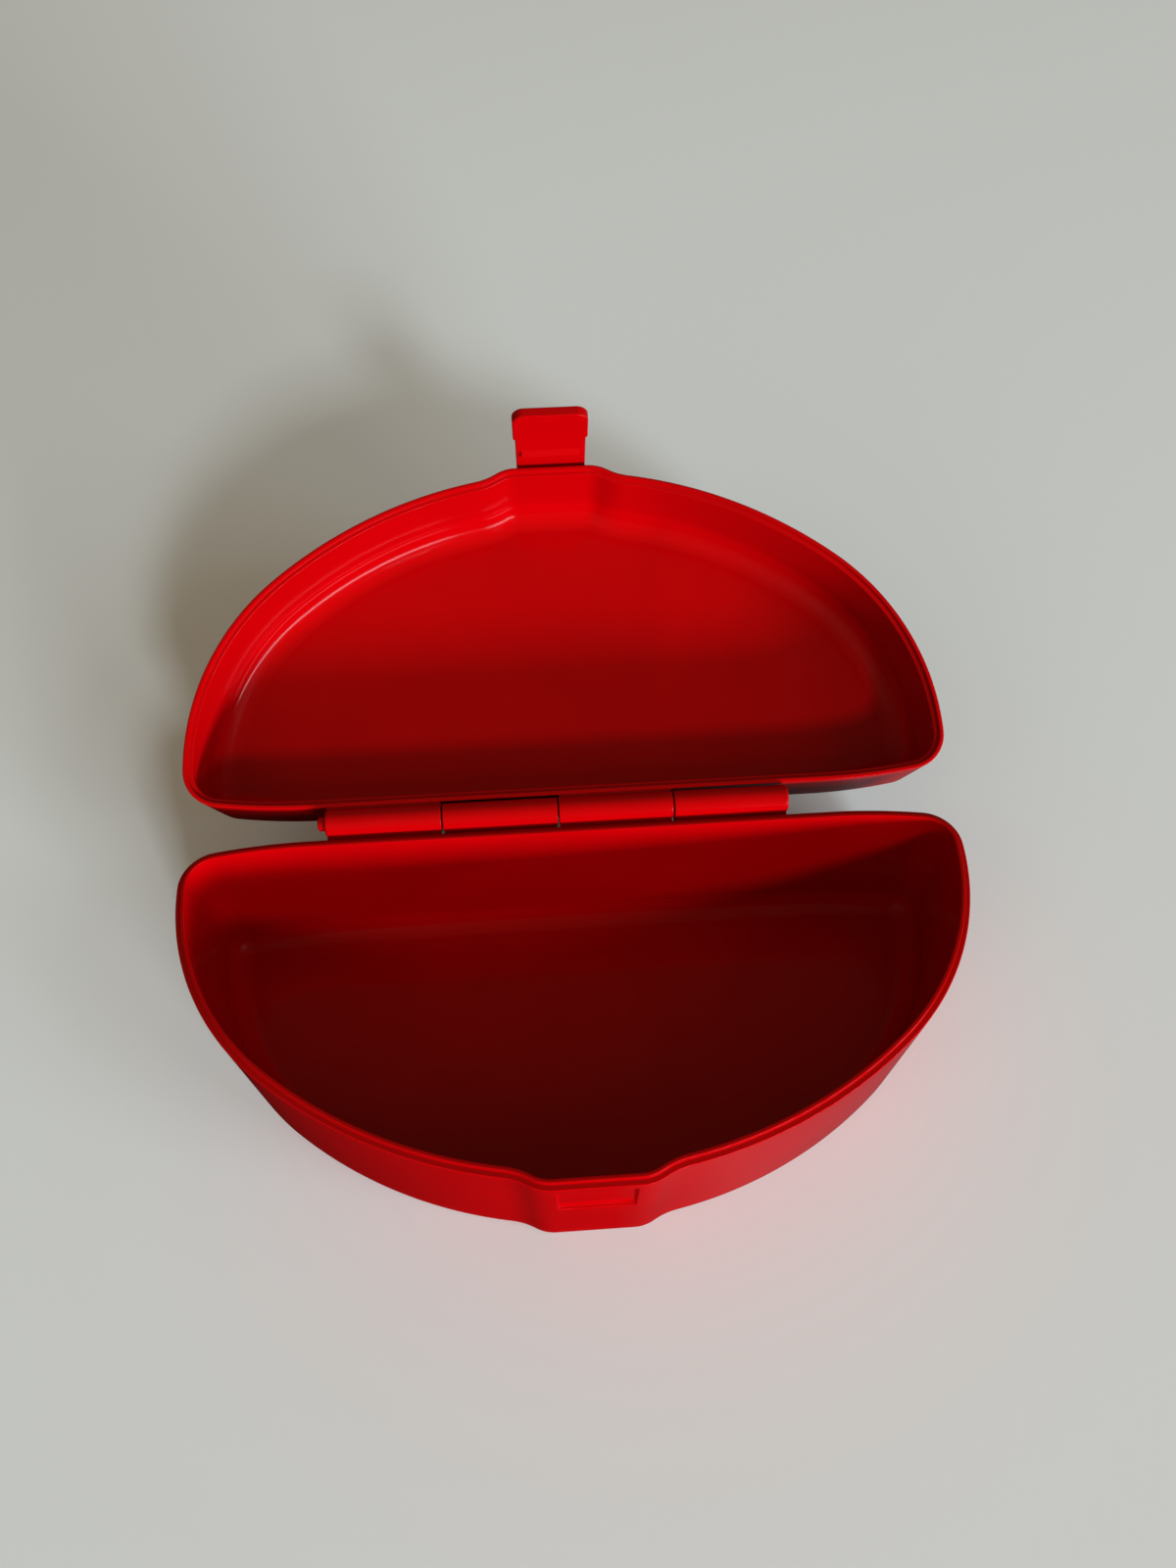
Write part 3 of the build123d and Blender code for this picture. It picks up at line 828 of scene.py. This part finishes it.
class HALFMOON_OT_latch_clip(bpy.types.Operator):
    """Build the swinging clip with its neck, finger tab, hook rib and knuckle"""

    bl_idname = "halfmoon.latch_clip"
    bl_label = "Latch clip"

    def execute(self, context):
        clip = object_of("clip_body", self.tab())
        for part in (self.neck(), self.hook(), self.knuckle()):
            fuse(clip, part)
        placed = bmesh.new()
        placed.from_mesh(clip.data)
        lean = Matrix.Rotation(-CLIP_LEAN, 3, "X")
        bmesh.ops.rotate(placed, verts=placed.verts[:], cent=pivot(), matrix=lean)
        swing_open(placed)
        placed.to_mesh(clip.data)
        placed.free()
        plastic = moulded_polypropylene("red_polypropylene_clip", sizes().finish.clip_gloss)
        finish_piece(clip, plastic, "clip", "latch_clip")
        return {"FINISHED"}

    def inner_y(self):
        """Face of the clip towards the boss when latched."""
        return boss_y() - sizes().clip.face_gap

    def tab_top(self):
        """Level of the tab's end towards the neck when latched."""
        c = sizes().clip
        return lid_rim_z() - c.reach + c.tab_length

    def tab(self):
        """The thicker finger tab with its rounded corners."""
        c = sizes().clip
        half = c.tab_width / 2
        outer = self.inner_y() - c.tab_thickness
        tip = lid_rim_z() - c.reach
        corners = [(-half, self.tab_top()), (-half, tip), (half, tip), (half, self.tab_top())]
        bm = prism([Vector((x, outer, z)) for x, z in corners], Vector((0, c.tab_thickness, 0)))
        tips = [
            e for e in bm.edges
            if all(v.co.z < tip + WELD for v in e.verts) and abs(e.verts[0].co.x - e.verts[1].co.x) < WELD
        ]
        round_edges(bm, tips, c.tab_round, TAB_SEGMENTS)
        round_sharp(bm, c.edge_round)
        return bm

    def neck(self):
        """The thinner neck, with the narrow stem that runs into the knuckle."""
        c = sizes().clip
        half = c.neck_width / 2
        stem = c.knuckle_width / 2 - c.edge_round
        outer = self.inner_y() - c.neck_thickness
        low = self.tab_top() - sizes().hinge.sink
        high = pivot().z - c.ear_radius - c.ear_top_gap
        top = pivot().z - c.pin_radius - sizes().hinge.pin_clearance - c.edge_round
        side = [(half, low), (half, high), (stem, high), (stem, top)]
        corners = side + [(-x, z) for x, z in reversed(side)]
        bm = prism([Vector((x, outer, z)) for x, z in corners], Vector((0, c.neck_thickness, 0)))
        round_sharp(bm, c.edge_round)
        return bm

    def hook(self):
        """The rib that snaps into the pocket."""
        c = sizes().clip
        s = sizes().shell
        high = s.base_height - s.pocket_top - c.hook_gap
        bite = boss_y() + c.hook_bite
        root = self.inner_y() - sizes().hinge.sink
        middle = high - c.hook_height / 2
        foot = high - c.hook_height - sizes().hinge.sink
        corners = [(root, high), (bite, high), (bite, middle), (root, foot)]
        start = -c.hook_width / 2
        return prism([Vector((start, y, z)) for y, z in corners], X_AXIS * c.hook_width)

    def knuckle(self):
        """The round knuckle with the pin's bore."""
        c = sizes().clip
        start = pivot() - X_AXIS * (c.knuckle_width / 2)
        bore = c.pin_radius + sizes().hinge.pin_clearance
        return ring_bar(start, c.knuckle_radius, bore, c.knuckle_width, (c.edge_round, c.edge_round))


class HALFMOON_OT_pins(bpy.types.Operator):
    """Build the hinge pin with its low head, and the latch pin"""

    bl_idname = "halfmoon.pins"
    bl_label = "Pins"

    def execute(self, context):
        h = sizes().hinge
        c = sizes().clip
        plastic = moulded_polypropylene("red_polypropylene_pin", sizes().finish.pin_gloss)
        start = Vector((PIN_LOW.x, HINGE.y, HINGE.z))
        head_end = h.pin_head_length
        tip = PIN_HIGH.x - PIN_LOW.x
        head_round = 0.7 * MM
        tip_round = 0.3 * MM
        bm = bmesh.new()
        self.turn(
            bm, start,
            [
                (0, 0), (0, h.pin_head), (head_end, h.pin_head),
                (head_end, h.pin_radius), (tip, h.pin_radius), (tip, 0),
            ],
            {0: head_round, tip: tip_round},
        )
        pin = object_of("hinge_pin_body", bm)
        finish_piece(pin, plastic, "base", "hinge_pin")

        half = c.knuckle_width / 2 + c.ear_side_gap + c.ear_width
        bm = bmesh.new()
        self.turn(
            bm, pivot() - X_AXIS * half,
            [(0, 0), (0, c.pin_radius), (2 * half, c.pin_radius), (2 * half, 0)],
            {0: tip_round, 2 * half: tip_round},
        )
        swing_open(bm)
        pin = object_of("latch_pin_body", bm)
        finish_piece(pin, plastic, "lid", "latch_pin")
        return {"FINISHED"}

    def turn(self, bm, start, profile, rounds):
        """Spins a profile of (along, out) points round X, and rounds the edges at the given ends."""
        last = bmesh.ops.create_vert(bm, co=start)["vert"][0]
        for along, out in profile[1:]:
            last = draw_on(bm, last, start + Vector((along, 0, out)) - last.co)
        bmesh.ops.spin(
            bm, geom=bm.verts[:] + bm.edges[:], cent=start, axis=X_AXIS,
            angle=2 * math.pi, steps=PIN_STEPS, use_merge=True,
        )
        bmesh.ops.remove_doubles(bm, verts=bm.verts[:], dist=WELD)
        bmesh.ops.recalc_face_normals(bm, faces=bm.faces[:])
        for along, radius in rounds.items():
            ring = [
                e for e in bm.edges
                if all(abs(v.co.x - start.x - along) < WELD for v in e.verts)
                and e.calc_face_angle(0) > SHARP_ANGLE
            ]
            round_edges(bm, ring, radius, PIN_END_SEGMENTS)


class HALFMOON_OT_stage(bpy.types.Operator):
    """Set the table, the light, the surround and the camera"""

    bl_idname = "halfmoon.stage"
    bl_label = "Stage"

    def execute(self, context):
        self.lay_table()
        self.hang_lights()
        self.paint_surround(context.scene)
        self.place_camera(context.scene)
        context.scene.view_settings.view_transform = "Standard"
        return {"FINISHED"}

    def lay_table(self):
        """Lays the pale table top."""
        bm = bmesh.new()
        bmesh.ops.create_grid(bm, x_segments=1, y_segments=1, size=TABLE_HALF)
        table = object_of("table", bm)
        table.data.materials.append(self.laminate())

    def laminate(self):
        """Matt melamine laminate: pale, with a faint mottle that keeps it from looking like paper.

        Glossy rays see painted reflection colours in its place, dark on the left and lighter on the right, so the
        box's gloss shows a painted reflection of the table.
        """
        finish = sizes().finish
        material = bpy.data.materials.new("pale_melamine_laminate")
        material.use_nodes = True
        tree = material.node_tree
        tree.nodes.clear()
        place = add_node(tree, "ShaderNodeTexCoord")
        mottle = 60 * MM
        noise = add_node(
            tree, "ShaderNodeTexNoise", {"Vector": (place, "Object"), "Scale": 1 / mottle, "Detail": 3.0},
        )
        rough = add_node(
            tree, "ShaderNodeMapRange", {"Value": (noise, "Fac"), "To Min": 0.55, "To Max": 0.65},
        )
        face = add_node(
            tree, "ShaderNodeBsdfPrincipled",
            {"Base Color": finish.table, "Roughness": (rough, "Result"), "Specular IOR Level": 0.05},
        )
        # Painted reflection: glossy rays see a diffuse colour that runs from dark on the left to lighter on the
        # right, not the table itself.
        path = add_node(tree, "ShaderNodeLightPath")
        apart = add_node(tree, "ShaderNodeSeparateXYZ", {"Vector": (place, "Object")})
        to_right = add_node(
            tree, "ShaderNodeMapRange",
            {"Value": (apart, "X"), "From Min": PAINTED_REFLECTION_LEFT_END, "From Max": PAINTED_REFLECTION_RIGHT_START},
        )
        shown = add_node(
            tree, "ShaderNodeMixRGB",
            {"Fac": (to_right, "Result"), "Color1": finish.painted_reflection_left, "Color2": finish.painted_reflection_right},
        )
        dim = add_node(tree, "ShaderNodeBsdfDiffuse", {"Color": (shown, "Color")})
        mixed = show_to(tree, path, "Is Glossy Ray", dim, face)
        add_node(tree, "ShaderNodeOutputMaterial", {"Surface": (mixed, "Shader")})
        return material

    def hang_lights(self):
        """Hangs soft rectangular lamps that face the box.

        The low window lights the upright walls, the bright sky draws the shadow, the tall window and the room
        fill it, and the gloss shows one wide low window.
        """
        for row in LAMPS:
            right, up = math.radians(row.to_right), math.radians(row.rise)
            toward = Vector((math.sin(right) * math.cos(up), -math.cos(right) * math.cos(up), math.sin(up)))
            light = bpy.data.lights.new(row.name, "AREA")
            light.shape = "RECTANGLE"
            light.size, light.size_y = row.size
            light.energy = row.watts
            light.color = row.tint
            lamp = bpy.data.objects.new(row.name, light)
            lamp.location = LAMP_AIM + toward * LAMP_DISTANCE
            lamp.rotation_euler = (-toward).to_track_quat("-Z", "Y").to_euler()
            lamp.visible_glossy = row.in_gloss
            bpy.context.scene.collection.objects.link(lamp)

    def paint_surround(self, scene):
        """Gives an even warm fill from all sides, a dim room in the gloss and a pale backdrop."""
        finish = sizes().finish
        world = bpy.data.worlds.new("soft_surround")
        world.use_nodes = True
        tree = world.node_tree
        tree.nodes.clear()
        path = add_node(tree, "ShaderNodeLightPath")
        fill, room, backdrop = (
            add_node(tree, "ShaderNodeBackground", {"Color": shade, "Strength": strength})
            for shade, strength in (
                (finish.surround, FILL_STRENGTH),
                (finish.surround, ROOM_IN_GLOSS_STRENGTH),
                (finish.backdrop, BACKDROP_STRENGTH),
            )
        )
        mixed = show_to(tree, path, "Is Glossy Ray", room, fill)
        seen = show_to(tree, path, "Is Camera Ray", backdrop, mixed)
        add_node(tree, "ShaderNodeOutputWorld", {"Surface": (seen, "Shader")})
        scene.world = world

    def place_camera(self, scene):
        """Stands the camera where the photograph was taken from."""
        data = bpy.data.cameras.new("photo_camera")
        data.lens = CAMERA_LENS
        data.sensor_width = CAMERA_SENSOR
        data.sensor_fit = "AUTO"
        data.clip_start = CAMERA_CLIP
        camera = bpy.data.objects.new("photo_camera", data)
        scene.collection.objects.link(camera)
        dip, yaw, roll = (math.radians(turn) for turn in (CAMERA_DOWN, CAMERA_RIGHT, CAMERA_ROLL))
        ahead = Vector((math.sin(yaw) * math.cos(dip), math.cos(yaw) * math.cos(dip), -math.sin(dip)))
        right = ahead.cross(Z_AXIS).normalized()
        down = ahead.cross(right)
        right, down = (
            math.cos(roll) * right + math.sin(roll) * down,
            math.cos(roll) * down - math.sin(roll) * right,
        )
        turn = Matrix((right, -down, -ahead)).transposed().to_4x4()
        camera.matrix_world = Matrix.Translation(CAMERA_PLACE) @ turn
        scene.camera = camera


OPERATORS = (
    HALFMOON_OT_base_shell,
    HALFMOON_OT_lid_shell,
    HALFMOON_OT_latch_clip,
    HALFMOON_OT_pins,
    HALFMOON_OT_stage,
)


class HALFMOON_PT_panel(bpy.types.Panel):
    """Sidebar panel with the box's sizes and the operators that build it"""

    bl_idname = "HALFMOON_PT_panel"
    bl_label = "Half-moon box"
    bl_space_type = "VIEW_3D"
    bl_region_type = "UI"
    bl_category = "Half-moon box"

    def draw(self, context):
        for name in ("outline", "shell", "hinge", "clip", "finish"):
            group = getattr(sizes(), name)
            column = self.layout.column(heading=name.capitalize())
            for key in group.__annotations__:
                column.prop(group, key)
        for operator in OPERATORS:
            self.layout.operator(operator.bl_idname)


CLASSES = (
    OutlineSizes, ShellSizes, HingeSizes, ClipSizes, Finishes, BoxSizes, *OPERATORS, HALFMOON_PT_panel,
)


def register():
    for each in CLASSES:
        bpy.utils.register_class(each)
    bpy.types.Scene.halfmoon_box = bpy.props.PointerProperty(type=BoxSizes)


def unregister():
    del bpy.types.Scene.halfmoon_box
    for each in reversed(CLASSES):
        bpy.utils.unregister_class(each)


def main():
    """Builds all pieces and the stage."""
    register()
    bpy.ops.halfmoon.base_shell()
    bpy.ops.halfmoon.lid_shell()
    bpy.ops.halfmoon.latch_clip()
    bpy.ops.halfmoon.pins()
    bpy.ops.halfmoon.stage()
    bpy.context.view_layer.update()


if __name__ == "__main__":
    main()
